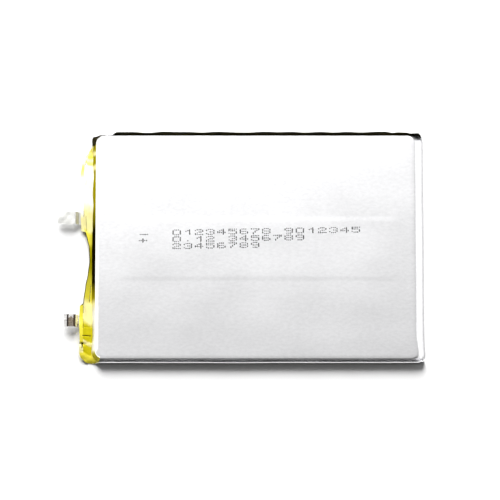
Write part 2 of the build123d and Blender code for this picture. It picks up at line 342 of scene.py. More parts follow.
def banded_tape_material(name, bands, ragged, slant, metallic, coat, specular):
    """Film tape whose tone, with painted highlights and shade, changes along Y: bands gives the tone
    at each Y, blended in between. The blends stray by ragged millimetres, and lean by slant over the
    terrace's width."""
    material, folds = tape_base(name, metallic, BANDED_ROUGHNESS, coat, specular)
    tree = material.node_tree
    place = coordinates(tree, "Object")
    across = ((TERRACE_BEND - TERRACE_WIDTH) * MM, TERRACE_BEND * MM)
    lean = map_range(tree, place["X"], across, (-slant * MM, 0))
    stray = map_range(tree, folds, NOISE_SPREAD, (-ragged * MM, ragged * MM))
    along = added(tree, added(tree, place["Y"], lean), stray)
    first, last = bands[0][0], bands[-1][0]
    share = map_range(tree, along, (first * MM, last * MM), (0, 1))
    ramp = tree.nodes.new("ShaderNodeValToRGB")
    stops = ramp.color_ramp.elements
    stops[0].color = (*TONES[bands[0][1]], 1)
    stops[1].color = (*TONES[bands[-1][1]], 1)
    for y, tone in bands[1:-1]:
        stops.new((y - first) / (last - first)).color = (*TONES[tone], 1)
    tree.links.new(share, ramp.inputs["Fac"])
    mottled = tree.nodes.new("ShaderNodeHueSaturation")
    tree.links.new(ramp.outputs["Color"], mottled.inputs["Color"])
    tree.links.new(map_range(tree, folds, NOISE_SPREAD, MOTTLING), mottled.inputs["Value"])
    to_shader(material, mottled.outputs["Color"], "Base Color")
    roughness_from(material, folds, BANDED_ROUGHNESS, 0.03)
    bump_from(material, [folds], [5e-6])
    return material


def tab_material(name, low, high, metallic, rough, streak_height):
    """Bare metal foil, with fine scratches along it and a few handling marks."""
    material = new_material(name, metallic, rough)
    scratches = add_noise(material, (90, 4200, 900), detail=4.0)
    marks = add_noise(material, (700, 700, 700), detail=3.0)
    colour_from(material, marks, low, high)
    roughness_from(material, scratches, rough, 0.08)
    bump_from(material, [scratches, marks], [streak_height, 1.2e-5])
    return material


# The tape's own colour is yellow; the bands paint light and shade on it along Y. White is a painted
# highlight, cream a painted highlight too but past the sheet's edge also the bare film's own
# paleness, bright and straw are painted lit patches, olive painted shade and the near-black painted
# deep shade in the fold. The bands give its tone at each Y, on the wall, on the terrace and past the
# sheet's edge.
TONES = {
    "white": (0.95, 0.94, 0.86),
    "cream": (0.84, 0.77, 0.34),
    "straw": (0.74, 0.66, 0.14),
    "bright": (0.74, 0.65, 0.05),
    "yellow": (0.52, 0.45, 0.003),
    "shaded_olive": (0.33, 0.28, 0.002),
    "dark": (0.006, 0.004, 0.0003),
}
WALL_BANDS = (
    (-38.5, "bright"), (-35.0, "bright"), (-33.4, "white"), (-21.5, "white"), (-18.6, "cream"),
    (-17.0, "shaded_olive"), (-11.5, "dark"), (5.6, "dark"), (14.0, "shaded_olive"), (25.2, "shaded_olive"),
    (25.8, "cream"), (26.8, "cream"), (27.4, "shaded_olive"), (29.8, "shaded_olive"), (30.3, "cream"),
    (31.2, "cream"), (31.8, "shaded_olive"), (33.2, "shaded_olive"), (34.0, "dark"), (38.5, "dark"),
)
TERRACE_BANDS = (
    (-38.5, "bright"), (-35.8, "bright"), (-35.0, "yellow"), (-32.5, "yellow"), (-32.1, "cream"),
    (-31.3, "cream"), (-30.9, "yellow"), (-26.2, "yellow"), (-24.6, "cream"), (-19.0, "cream"),
    (-17.2, "bright"), (-11.0, "bright"), (-7.0, "yellow"), (-0.5, "yellow"), (1.0, "bright"),
    (4.4, "bright"), (5.6, "cream"), (11.0, "cream"), (14.5, "white"), (26.4, "white"),
    (27.2, "straw"), (28.6, "cream"), (29.3, "bright"), (30.3, "straw"), (33.2, "straw"),
    (34.0, "dark"), (38.5, "dark"),
)
OVERHANG_BANDS = (
    (-38.5, "bright"), (-34.6, "bright"), (-34.0, "cream"), (-31.6, "cream"), (-31.2, "bright"),
    (-19.0, "bright"), (-18.8, "dark"), (5.0, "dark"), (5.2, "cream"), (9.5, "cream"),
    (11.5, "white"), (23.0, "white"), (24.0, "cream"), (25.8, "straw"), (28.4, "cream"),
    (33.0, "straw"), (34.0, "dark"), (38.5, "dark"),
)

# Materials of one noise: their darkest and lightest colour, how metallic and rough they are, the
# noise's features per metre, and its bump's height in metres.
PLAIN_LOOKS = {
    "cut_edge": ((0.80, 0.80, 0.80), (0.92, 0.92, 0.92), 0.5, 0.4, (900, 900, 900), 1e-5),
    "ink": ((0.012, 0.012, 0.014), (0.05, 0.05, 0.055), 0.0, 0.55, (6000, 6000, 6000), 4e-6),
    "separator": ((0.80, 0.80, 0.79), (0.88, 0.88, 0.87), 0.0, 0.5, (1500, 1500, 1500), 4e-6),
    "copper": ((0.72, 0.36, 0.20), (0.86, 0.46, 0.28), 1.0, 0.3, (90, 2500, 900), 3e-6),
    "graphite": ((0.030, 0.030, 0.033), (0.060, 0.060, 0.064), 0.1, 0.7, (4000, 4000, 4000), 8e-6),
    "aluminium": ((0.80, 0.80, 0.80), (0.90, 0.90, 0.90), 1.0, 0.3, (90, 2500, 900), 3e-6),
    "cathode": ((0.018, 0.018, 0.020), (0.040, 0.040, 0.044), 0.0, 0.75, (4000, 4000, 4000), 8e-6),
    "roll_tape": ((0.16, 0.42, 0.30), (0.22, 0.52, 0.38), 0.0, 0.25, (700, 700, 700), 5e-6),
    "tab_film": ((0.70, 0.68, 0.58), (0.82, 0.80, 0.70), 0.0, 0.35, (900, 900, 900), 6e-6),
}
LAMINATE_LOOKS = {
    "laminate": ((0.83, 0.83, 0.84), (0.93, 0.93, 0.94), 0.9, 0.35),
    # The folded seal's laminate painted dark: painted shade on the near seal's outer side.
    "flange_painted_shade": ((0.09, 0.09, 0.09), (0.13, 0.13, 0.13), 0.9, 0.45),
}
# Colours, metallic and roughness as above, then the scratches' height.
TAB_LOOKS = {
    "aluminium_tab": ((0.66, 0.66, 0.63), (0.80, 0.80, 0.77), 0.85, 0.4, 2e-6),
    "nickel_tab": ((0.84, 0.82, 0.79), (0.95, 0.94, 0.92), 0.8, 0.30, 3e-6),
    # Painted shade on the steep flanks of the negative tab's crease.
    "nickel_painted_shade": ((0.06, 0.045, 0.040), (0.12, 0.095, 0.085), 1.0, 0.4, 3e-6),
    # A painted reflection on the crest of the negative tab's crease.
    "nickel_painted_reflection": ((0.16, 0.12, 0.08), (0.52, 0.46, 0.38), 1.0, 0.4, 3e-6),
}
# Colours, metallic and roughness as above, then the coat's weight.
ONE_TONE_TAPES = {
    "tape_border": ((0.86, 0.85, 0.78), (0.92, 0.92, 0.89), 0.0, 0.3, 0.3),
    "tape_under": ((0.52, 0.45, 0.004), (0.78, 0.70, 0.06), 0.3, 0.25, 0.2),
}
# Bands, how ragged and how slanted they are, then metallic, the coat's weight and specular level.
BANDED_TAPES = {
    "tape_wall": (WALL_BANDS, 0.4, 0.0, 0.0, 0.0, 0.0),
    "tape_terrace": (TERRACE_BANDS, 0.7, 1.6, 0.1, 0.1, 0.15),
    "tape_overhang": (OVERHANG_BANDS, 0.0, 0.0, 0.1, 0.1, 0.15),
}
MAKERS = (
    (plain_material, PLAIN_LOOKS),
    (laminate_material, LAMINATE_LOOKS),
    (tab_material, TAB_LOOKS),
    (tape_material, ONE_TONE_TAPES),
    (banded_tape_material, BANDED_TAPES),
)
MATERIALS = {name: make(name, *look) for make, looks in MAKERS for name, look in looks.items()}
# Near-black paint standing for shade: painted shade inside the far seal's fold, in the tape's deepest
# creases and on the corner fold.
MATERIALS["painted_fold_shade"] = plain_material(
    "painted_fold_shade", (0.004, 0.003, 0.001), (0.030, 0.024, 0.002), 0.0, 0.5, (900, 900, 900), 8e-6,
    Specular_IOR_Level=0.15,
)

# The CAD nodes that stay, by the material that each wears.
CARRIED_OVER = {
    "separator": ("separator_inner", "separator_outer"),
    "copper": ("anode_foil",),
    "graphite": ("anode_coating_inner", "anode_coating_outer"),
    "aluminium": ("cathode_foil",),
    "cathode": ("cathode_coating_inner", "cathode_coating_outer"),
    "roll_tape": ("roll_closing_tape", "positive_weld_tape", "negative_weld_tape"),
    "tab_film": [f"{name}_film_{side}" for name in TAB_NAMES for side in ("upper", "lower")],
}


def dress_cad_nodes():
    for look, nodes in CARRIED_OVER.items():
        for node in nodes:
            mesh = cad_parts[node].data
            mesh.materials.clear()
            mesh.materials.append(MATERIALS[look])


# ---- The drawn cup ----

FACE_STEP = 0.7
FACE_SINK = 0.02
CROWN_ACROSS, CROWN_ALONG = 0.13, 0.03
# The closing tape's outline on the face: left, right, near and far, and half the width of its steps.
TAPE_IMPRINT = (-42.0, 46.5, -10.7, 9.0)
IMPRINT_STEPS = (0.3, 0.3, 0.15, 0.35)
IMPRINT_HEIGHT = 0.018
# The face's two ripples. The long one is drawn out along X.
LONG_RIPPLE, LONG_RIPPLE_STRETCH = (0.0015, 34.0, 3), 2.4
SHORT_RIPPLE = (0.0005, 7.0, 5)


def face_relief(x, y):
    """How far the face stands above its plane: a crown, the closing tape's imprint, and ripples."""
    left, right, near, far = zip(TAPE_IMPRINT, IMPRINT_STEPS)
    crown = -CROWN_ACROSS * (y / FACE_HALF) ** 2 - CROWN_ALONG * (x / FACE_RIGHT) ** 2
    inside_x = rising(*left, x) * (1 - rising(*right, x))
    inside_y = rising(*near, y) * (1 - rising(*far, y))
    ripples = waves(LONG_RIPPLE, x, LONG_RIPPLE_STRETCH * y) + waves(SHORT_RIPPLE, x, y)
    return crown + IMPRINT_HEIGHT * inside_x * inside_y + ripples - FACE_SINK


# Where the cup's edge has a ring: turns round its two edges in degrees, and shares of the wall.
FACE_EDGE_TURNS = (12, 24, 36, 48, 60, 70)
WALL_SHARES = (0.15, 0.3, 0.45, 0.6, 0.75, 0.9, 1.0)
FOOT_EDGE_TURNS = (25, 50, 75, 90)
FACE_RINGS = (0.6, 1.2, CORNER - FACE_EDGE)
SEAL_RING = 0.2


def cup_rings():
    """(distance out from the corner centre, drop from the face) of each ring of the cup's edge."""
    rings = [(out, 0.0) for out in FACE_RINGS]
    for turn in np.radians(FACE_EDGE_TURNS):
        out = CORNER - FACE_EDGE + FACE_EDGE * sin(turn)
        rings.append((out, FACE_EDGE * (1 - cos(turn))))
    top_out, top_drop = rings[-1]
    foot_drop = FACE_Z - FOOT_Z - FOOT_EDGE
    for share in WALL_SHARES:
        drop = top_drop + share * (foot_drop - top_drop)
        rings.append((top_out + share * (CORNER - top_out), drop))
    for turn in np.radians(FOOT_EDGE_TURNS):
        rings.append((CORNER + FOOT_EDGE * (1 - cos(turn)), foot_drop + FOOT_EDGE * sin(turn)))
    rings.append((CORNER + FOOT_EDGE + SEAL_RING, FACE_Z - FOOT_Z))
    return rings


def axis_stops(low, high, ring_count):
    """Per grid line across one axis: its place on the core, and its ring number with a sign."""
    steps = int((high - low) / FACE_STEP)
    core = np.linspace(low, high, steps + 1)
    rings = np.arange(1, ring_count + 1)
    places = np.concatenate([np.full(ring_count, low), core, np.full(ring_count, high)])
    numbers = np.concatenate([-rings[::-1], np.zeros(len(core), int), rings])
    return places, numbers


def cup_grid():
    """The cup as a flat core with rings round it, each ring going round all four sides."""
    rings = np.array([(0.0, 0.0), *cup_rings()])
    count = len(rings) - 1
    core_left, core_right = FACE_LEFT + CORNER, FACE_RIGHT - CORNER
    core_half = FACE_HALF - CORNER
    xs, x_ring = axis_stops(core_left, core_right, count)
    ys, y_ring = axis_stops(-core_half, core_half, count)
    x, y = np.meshgrid(xs, ys, indexing="ij")
    ring_x, ring_y = np.meshgrid(np.abs(x_ring), np.abs(y_ring), indexing="ij")
    sign_x, sign_y = np.meshgrid(np.sign(x_ring), np.sign(y_ring), indexing="ij")
    ring = np.maximum(ring_x, ring_y)
    turn = np.minimum(ring_x, ring_y) / np.maximum(ring, 1) * pi / 4
    angle = np.where(ring_x >= ring_y, turn, pi / 2 - turn)
    out, drop = rings[ring, 0], rings[ring, 1]
    share = np.clip(drop / (FACE_Z - FOOT_Z), 0, 1)
    centre = (core_left + core_right) / 2
    foot_shift = np.where(x > centre, FOOT_RIGHT - FACE_RIGHT, FACE_LEFT - FOOT_LEFT)
    reach = np.where(x > centre, core_right - centre, centre - core_left)
    x = x + share * foot_shift * (x - centre) / reach
    y = y * (1 + share * (FOOT_HALF - FACE_HALF) / core_half)
    x = x + sign_x * out * np.cos(angle)
    y = y + sign_y * out * np.sin(angle)
    z = FACE_Z - drop + face_relief(x, y) * (1 - share)
    return shape_cup(np.stack([x, y, z], axis=2), share)


# How far the cup strays from its outline. The folded end flares out at its near corner, more at the
# face than at the foot, and its tip is drawn out along X and Y. The long walls bulge and all wave.
FLARE, FLARE_LOST_AT_FOOT = 0.85, 0.55
TIP_ALONG, TIP_ACROSS = 0.55, 0.4
NEAR_BULGE, FAR_BULGE = 0.26, 0.06
END_WAVE, SIDE_WAVE = (0.05, 14.0, 8), (0.06, 17.0, 9)
# Where each of those sets in, along X or Y.
FLARE_X, FLARE_Y = (50.0, 53.5), (-35.5, -28.0)
TIP_X, TIP_Y = (51.0, 53.4), (-36.2, -34.4)
NEAR_SIDE, FAR_SIDE = (-36.0, -31.0), (31.0, 36.0)
END_WAVE_X, SIDE_WAVE_Y = (50.0, 53.0), (30.0, 36.0)


def shape_cup(grid, share):
    """The cup's irregularities, where share goes from 0 at the face to 1 at the foot."""
    x, y, z = grid[..., 0], grid[..., 1], grid[..., 2]
    flare = (1 - smooth(*FLARE_Y, y)) * smooth(*FLARE_X, x)
    tip = (1 - smooth(*TIP_Y, y)) * smooth(*TIP_X, x) * (1 - share)
    near_side, far_side = 1 - smooth(*NEAR_SIDE, y), smooth(*FAR_SIDE, y)
    x = x + flare * (FLARE - FLARE_LOST_AT_FOOT * share) + TIP_ALONG * tip
    y = y - NEAR_BULGE * near_side + FAR_BULGE * far_side - TIP_ACROSS * tip
    wall = smooth(0.1, 0.5, share) * (1 - smooth(0.85, 1.0, share))
    x = x + waves(END_WAVE, y, z) * wall * smooth(*END_WAVE_X, x)
    y = y + waves(SIDE_WAVE, x, z) * wall * np.sign(y) * smooth(*SIDE_WAVE_Y, np.abs(y))
    return np.stack([x, y, z], axis=2)


def make_cup():
    piece = sheet("cup_skin", cup_grid(), LAMINATE, [MATERIALS["laminate"]])
    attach(piece, "cell")
    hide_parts("pouch_cup")


# ---- The flat cover and the folded side seals ----

FLANGE_STEP = 0.6
BASE_COLUMNS, BASE_MARGIN = 40, 0.7
# The flat part ends this far inside the cup's foot. Beyond UPRIGHT_Y the cover is folded up.
BASE_SHORTER = 0.05
UPRIGHT_Y = FOLD_Y - 0.5
# A folded seal's section: its inner radius, its turns in degrees, shares of its height, and its bow.
FOLD_RADIUS = 0.14
FOLD_TURNS = (0, 30, 60, 85)
FLANGE_SHARES = (0.12, 0.25, 0.4, 0.55, 0.7, 0.85, 1.0)
FLANGE_BOW = 0.10
LEAST_LEAN = 0.1
# How the far and the near cut edge wave in and out, how far in from the CAD's edge they lie, and how
# they wave up and down.
FAR_WAVE, FAR_INSET, FAR_HEIGHT_WAVE = (0.15, 10.0, 21), 0.02, (0.03, 9.0, 23)
NEAR_WAVE, NEAR_INSET, NEAR_HEIGHT_WAVE = (0.05, 16.0, 22), 0.24, (0.03, 9.0, 24)
# Where the cut edges come in and down: how far, and between which X that sets in or ends.
FAR_TAB_END_IN, FAR_TAB_END_DOWN = (1.15, -45.6, -43.6), (2.4, -50.2, -48.4)
FAR_STEP_IN, FAR_END_DOWN = (0.35, 50.9, 51.5), (0.5, 54.0, FLANGE_RIGHT)
NEAR_TAB_END_DOWN = (2.5, -50.4, -48.6)
NEAR_END_IN, NEAR_END_DOWN = (0.45, 53.0, FLANGE_RIGHT), (0.9, 54.6, FLANGE_RIGHT)
# The far edge is dented (how deep, at which X, half its length), and curves in at the folded end.
DENT, DENT_X, DENT_HALF = 0.30, 45.7, 2.2
FAR_CURVE, FAR_CURVE_START = 1.5, 53.6


def flange_top(x, far):
    """(how far out, how high) the cut edge of a side seal is along X."""
    line = 0 * x
    outermost = FLANGE_Y - 2 * LAMINATE
    if far:
        out = outermost + waves(FAR_WAVE, x, line) - FAR_INSET
        high = FLANGE_Z + waves(FAR_HEIGHT_WAVE, x, line)
        out = out - until(*FAR_TAB_END_IN, x)
        out = out - DENT * hump(DENT_X, DENT_HALF, x) - beyond(*FAR_STEP_IN, x)
        out = out - FAR_CURVE * smooth(FAR_CURVE_START, FLANGE_RIGHT, x) ** 2
        high = high - beyond(*FAR_END_DOWN, x) - until(*FAR_TAB_END_DOWN, x)
    else:
        out = outermost + waves(NEAR_WAVE, x, line) - NEAR_INSET
        high = FLANGE_Z + waves(NEAR_HEIGHT_WAVE, x, line)
        out = out - beyond(*NEAR_END_IN, x)
        high = high - until(*NEAR_TAB_END_DOWN, x) - beyond(*NEAR_END_DOWN, x)
    return out, high


def flange_section(x, far):
    """Inner side of one folded seal, from the bottom sheet up to the cut edge, as rows of (y, z)."""
    out, high = flange_top(x, far)
    base = np.minimum(FOLD_Y - LAMINATE, out - LEAST_LEAN) - FOLD_RADIUS
    rows = []
    for turn in np.radians(FOLD_TURNS):
        rows.append((base + FOLD_RADIUS * sin(turn), 2 * LAMINATE + FOLD_RADIUS * (1 - cos(turn))))
    start_y, start_z = rows[-1]
    for share in FLANGE_SHARES:
        bow = FLANGE_BOW * sin(pi * share)
        rows.append((start_y + share * (out - start_y) + bow, start_z + share * (high - start_z)))
    return rows


def cover_grid():
    """The cover's upper side and its thickness, from the near cut edge to the far one. The folded
    seals are two sheets thick."""
    stations = np.arange(FLANGE_LEFT, FLANGE_RIGHT + FLANGE_STEP / 2, FLANGE_STEP)
    stations[-1] = FLANGE_RIGHT
    columns = [(-y, z) for y, z in reversed(flange_section(stations, far=False))]
    for y in np.linspace(BASE_MARGIN - FOLD_Y, FOLD_Y - BASE_MARGIN, BASE_COLUMNS):
        columns.append((y, LAMINATE))
    columns += flange_section(stations, far=True)
    line = 0 * stations
    grid = np.stack([np.stack([stations, y + line, z + line], axis=1) for y, z in columns], axis=1)
    flat = np.abs(grid[..., 1]) < UPRIGHT_Y
    limit = np.where(flat, FOOT_RIGHT - BASE_SHORTER, FLANGE_RIGHT)
    grid[..., 0] = np.minimum(grid[..., 0], limit)
    thickness = np.where(flat, LAMINATE, 2 * LAMINATE)
    return grid, thickness


COVER_LOOKS = ("laminate", "cut_edge", "flange_painted_shade", "painted_fold_shade")


def make_cover():
    grid, thickness = cover_grid()
    y = grid[:-1, :-1, 1]
    upright, far = np.abs(y) > UPRIGHT_Y, y > 0
    # Painted shade: the far seal's inner side takes the near-black fold paint, the near seal's outer
    # side the dark laminate.
    inner = np.where(upright & far, COVER_LOOKS.index("painted_fold_shade"), 0)
    outer = np.where(upright & ~far, COVER_LOOKS.index("flange_painted_shade"), 0)
    materials = [MATERIALS[name] for name in COVER_LOOKS]
    rim = COVER_LOOKS.index("cut_edge")
    piece = sheet("cover_skin", grid, thickness, materials, rim, inner, outer)
    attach(piece, "cell")
    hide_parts("pouch_cover")


# ---- Terrace and its tape, as a fan of paths round the tab end ----

# Each station says, at a place along the tab end (its Y, continued round the corners), how far out
# and how high the valley at the foot of the wall is, the slope and length of the sealed sheet from
# there, and how far the tape passes the sheet's edge.
TERRACE_STATIONS = (
    (37.0, 0.45, 2.40, -60.0, 0.60, 0.0),
    (35.9, 0.70, 1.20, -10.0, 0.30, 0.0),
    (34.6, 0.95, 0.50, 0.0, 0.30, 0.0),
    (33.5, 1.05, 0.30, 0.0, 0.35, 0.0),
    (31.7, 1.10, 0.34, 2.0, 1.10, 0.25),
    (30.2, 1.10, 0.42, 6.0, 1.70, 0.65),
    (27.2, 1.10, 0.62, 12.0, 2.75, 0.80),
    (24.0, 0.80, 0.70, 12.0, 3.30, 1.00),
    (18.0, 1.15, 0.62, 12.0, 3.00, 1.05),
    (14.0, 0.90, 0.66, 12.0, 3.20, 1.05),
    (10.0, 1.10, 0.62, 12.0, 3.00, 0.90),
    (5.6, 1.10, 0.62, 12.0, 2.70, 0.90),
    (4.9, 1.20, 0.60, 16.0, 2.10, 0.22),
    (2.5, 1.25, 0.55, 26.0, 1.50, 0.22),
    (0.2, 1.28, 0.50, 40.0, 1.05, 0.22),
    (-4.5, 1.28, 0.50, 50.0, 0.90, 0.22),
    (-9.0, 1.26, 0.50, 42.0, 1.50, 0.22),
    (-12.3, 1.24, 0.52, 34.0, 2.15, 0.22),
    (-18.2, 1.15, 0.62, 16.0, 2.70, 0.22),
    (-19.2, 1.00, 0.80, 11.0, 3.05, 1.05),
    (-22.8, 1.00, 0.80, 11.0, 3.10, 1.05),
    (-25.8, 0.85, 0.55, 20.0, 3.35, 1.05),
    (-28.8, 0.70, 0.55, 21.0, 3.50, 1.05),
    (-30.8, 0.85, 0.55, 20.0, 3.35, 1.05),
    (-31.6, 1.00, 0.80, 10.0, 3.05, 1.10),
    (-32.4, 1.05, 0.50, 20.0, 3.10, 1.15),
    (-34.4, 1.15, 0.50, 18.0, 2.90, 1.25),
    (-35.2, 1.15, 0.70, 4.0, 1.60, 1.45),
    (-35.9, 1.05, 1.00, -20.0, 0.75, 1.30),
    (-36.6, 1.00, 1.80, -50.0, 0.40, 0.95),
    (-37.0, 1.00, 2.60, -76.0, 0.60, 1.20),
)
PATHS = 520
# The sheets under the upper tape leave out this many paths at each end of the fan, and the sealed
# halves of the bag end this many columns before the tape's overhang.
TRIM, SEAL_SHORTER = 12, 3
# The tape's columns: its border on the face, the wall, the terrace and past the sheet's edge.
BORDER_COLUMNS, WALL_COLUMNS, TERRACE_COLUMNS, OVERHANG_COLUMNS = 5, 9, 22, 5
# How wide the border is, how far it stays from the face's edge, and where it runs out along Y, at
# either end and sooner at the far one.
BORDER, BORDER_START = 0.85, 0.12
BORDER_ENDS, BORDER_FAR_END = (33.2, 35.4), (30.6, 32.2)
# Where the tape starts down the wall, and how far it bows away from it.
WALL_OUT, WALL_DROP, WALL_BOW = 0.02, 0.06, 0.22
# How softly the terrace leaves its valley, and the least overhang, so that every face has an area.
VALLEY_EASE, LEAST_OVERHANG = 0.002, 0.05

# Creases pressed into the tape: both ends (X, Y), half its width and its depth.
CREASES = (
    (-54.4, -28.86, -51.8, -28.86, 0.26, 0.14),
    (-54.2, -26.05, -51.9, -26.05, 0.22, 0.07),
    (-54.25, -18.2, -54.25, -21.5, 0.22, 0.12),
    (-54.30, -23.4, -54.25, -26.5, 0.22, 0.10),
    (-53.55, 10.5, -53.35, 5.1, 0.20, 0.10),
    (-54.3, 12.3, -54.2, 9.3, 0.16, 0.10),
    (-53.6, 28.7, -53.85, 27.2, 0.25, 0.14),
    (-51.85, -12.3, -52.3, -18.0, 0.22, 0.12),
    (-54.6, -31.3, -54.6, -32.9, 0.40, 0.22),
    (-54.35, -33.8, -52.2, -35.2, 0.55, 0.08),
)
# The tape is painted dark, as painted shade, where a crease is pressed deeper than this.
CREASE_SHADE_DEPTH = 0.09
# The tape's wrinkles. The long ones are drawn out along X. They set in this far out from the face.
LONG_WRINKLES, LONG_WRINKLE_STRETCH = (0.012, 6.0, 31), 0.6
SHORT_WRINKLES = (0.004, 1.8, 33)
WRINKLES_START = (0.9, 1.6)


def fan_base(places):
    """Anchor point on the face's outline and outward direction for each place along the tab end."""
    straight = FACE_HALF - CORNER
    turn = np.sign(places) * np.maximum(np.abs(places) - straight, 0) / CORNER
    direction = np.stack([-np.cos(turn), np.sin(turn)], axis=1)
    y = np.clip(places, -straight, straight)
    anchor = np.stack([FACE_LEFT + CORNER + 0 * y, y], axis=1) + CORNER * direction
    return anchor, direction


def terrace_path(places, lift, wall):
    """Rows of (out, height) for each place: down the wall, through the valley and up the terrace.
    lift raises the sheet square to its slope, and wall says whether the wall is part of the path."""
    valley_out, valley_z, slope, length, overhang = through(TERRACE_STATIONS, places).T
    slope = np.radians(slope)
    length = length + lift * np.tan(slope) * (slope > 0)
    columns = []
    if wall:
        line = 0 * places
        border = until(BORDER, *BORDER_ENDS, np.abs(places)) * until(1, *BORDER_FAR_END, places)
        for share in np.linspace(0, 1, BORDER_COLUMNS):
            out = -border * (1 - share) - BORDER_START
            columns.append(np.stack([out, line + FACE_Z], axis=1))
        top = np.stack([line + WALL_OUT, line + FACE_Z - WALL_DROP], axis=1)
        foot = np.stack([valley_out, valley_z], axis=1)
        for share in np.linspace(0, 1, WALL_COLUMNS + 1)[:-1]:
            bow = np.array([WALL_BOW * sin(pi * share), 0.0])
            columns.append(top + (foot - top) * share + bow)
    for share in np.linspace(0, 1, TERRACE_COLUMNS):
        run = share * length
        ease = (sqrt(VALLEY_EASE + share * share) + share) / (sqrt(VALLEY_EASE + 1) + 1)
        out = valley_out + run * np.cos(slope)
        height = valley_z + ease * length * np.sin(slope)
        columns.append(np.stack([out, height], axis=1))
    edge_out, edge_z = columns[-1].T
    closing = np.linspace(0, 1, OVERHANG_COLUMNS + 1)[1:]
    for share in closing:
        run = share * np.maximum(overhang, LEAST_OVERHANG)
        out = edge_out + run * np.cos(slope)
        height = edge_z + run * np.sin(slope)
        columns.append(np.stack([out, height], axis=1))
    path = np.stack(columns, axis=1)
    terrace = np.zeros(path.shape[1])
    terrace[-TERRACE_COLUMNS - OVERHANG_COLUMNS :] = 1
    raised = np.outer(lift, terrace)
    # Past the sheet's edge, the tapes above and below it close on each other.
    joined = np.minimum(overhang, 1)
    middle = -(TAPE + LAMINATE) * joined
    side = np.sign(lift - middle)
    to_middle = middle + side * TAPE / 2 - lift
    raised[:, -OVERHANG_COLUMNS:] += closing * to_middle[:, None] * joined[:, None]
    path[..., 0] -= raised * np.sin(slope)[:, None]
    path[..., 1] += raised * np.cos(slope)[:, None]
    return path


def fan_grid(places, path):
    """The points of each path of (out, height), set out from its anchor."""
    anchor, direction = fan_base(places)
    flat = anchor[:, None, :] + path[..., :1] * direction[:, None, :]
    return np.concatenate([flat, path[..., 1:]], axis=2)


def crease_depth(x, y):
    """How deep the creases are at a point."""
    total = 0 * x
    for start_x, start_y, end_x, end_y, half_width, depth in CREASES:
        run_x, run_y = end_x - start_x, end_y - start_y
        from_x, from_y = x - start_x, y - start_y
        along = (from_x * run_x + from_y * run_y) / (run_x**2 + run_y**2)
        along = np.clip(along, 0, 1)
        distance = np.hypot(from_x - along * run_x, from_y - along * run_y)
        total = total + depth * hump(0, half_width, distance)
    return total


def tape_wrinkles(grid):
    """Soft wrinkles and pressed creases in the tape, on the terrace only."""
    x, y, z = grid[..., 0], grid[..., 1], grid[..., 2]
    wrinkles = waves(LONG_WRINKLES, LONG_WRINKLE_STRETCH * x, y) + waves(SHORT_WRINKLES, x, y)
    z = z + smooth(*WRINKLES_START, FACE_LEFT - x) * (wrinkles - crease_depth(x, y))
    return np.stack([x, y, z], axis=2)


TAPE_LOOKS = ("tape_border", "tape_wall", "tape_terrace", "tape_overhang", "painted_fold_shade")


def tape_slots(grid):
    """Material slot of each face of the upper tape, by its column and the creases pressed into it,
    which get painted shade.
    """
    centre = (grid[1:, 1:] + grid[:-1, :-1]) / 2
    slots = np.zeros(centre.shape[:2], int)
    terrace = BORDER_COLUMNS + WALL_COLUMNS
    slots[:, BORDER_COLUMNS:terrace] = TAPE_LOOKS.index("tape_wall")
    slots[:, terrace:-OVERHANG_COLUMNS] = TAPE_LOOKS.index("tape_terrace")
    slots[:, -OVERHANG_COLUMNS:] = TAPE_LOOKS.index("tape_overhang")
    crease_shade = crease_depth(centre[..., 0], centre[..., 1]) > CREASE_SHADE_DEPTH
    crease_shade[:, :terrace] = False
    slots[crease_shade] = TAPE_LOOKS.index("painted_fold_shade")
    return slots


# Between these distances from the middle, the upper tape comes down from the height of the tabs.
STACK_ENDS = (26.0, 32.0)
# How far the border stands off the face, and the lower tape's under side off the floor.
BORDER_LIFT, LEAST_CLEARANCE = 0.05, 0.001


def terrace_grid(places, lift, wall=False):
    """Upper side of a sheet that lies lift above the sealed sheet, with or without the wall."""
    return tape_wrinkles(fan_grid(places, terrace_path(places, lift, wall)))


def make_terrace():
    places = np.linspace(TERRACE_STATIONS[-1][0], TERRACE_STATIONS[0][0], PATHS)
    rise = TAB_STACK * (1 - smooth(*STACK_ENDS, np.abs(places)))
    upper = terrace_grid(places, rise, wall=True)
    border = upper[:, :BORDER_COLUMNS]
    border[..., 2] += face_relief(border[..., 0], border[..., 1]) + BORDER_LIFT
    materials = [MATERIALS[name] for name in TAPE_LOOKS]
    slots = tape_slots(upper)[::-1]
    rim = TAPE_LOOKS.index("tape_overhang")
    piece = sheet("terrace_tape_top", upper[::-1], TAPE, materials, rim, slots, slots, 30)
    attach(piece, "cell")
    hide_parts("terrace_tape_upper")

    low = -TAPE - LAMINATE - GAP
    laminate = [MATERIALS["laminate"], MATERIALS["cut_edge"]]
    for side, lift in (("upper", rise - TAPE - GAP), ("lower", low + 0 * places)):
        seal = terrace_grid(places, lift)[TRIM:-TRIM, : -OVERHANG_COLUMNS - SEAL_SHORTER]
        piece = sheet("terrace_seal_" + side, seal[::-1], LAMINATE, laminate, 1)
        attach(piece, "cell")

    low = low - LAMINATE - GAP
    under = terrace_grid(places, low + 0 * places)[TRIM:-TRIM]
    under[..., 2] = np.maximum(under[..., 2], TAPE + LEAST_CLEARANCE)
    piece = sheet("terrace_tape_bottom", under[::-1], TAPE, [MATERIALS["tape_under"]])
    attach(piece, "cell")
    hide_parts("terrace_tape_under")


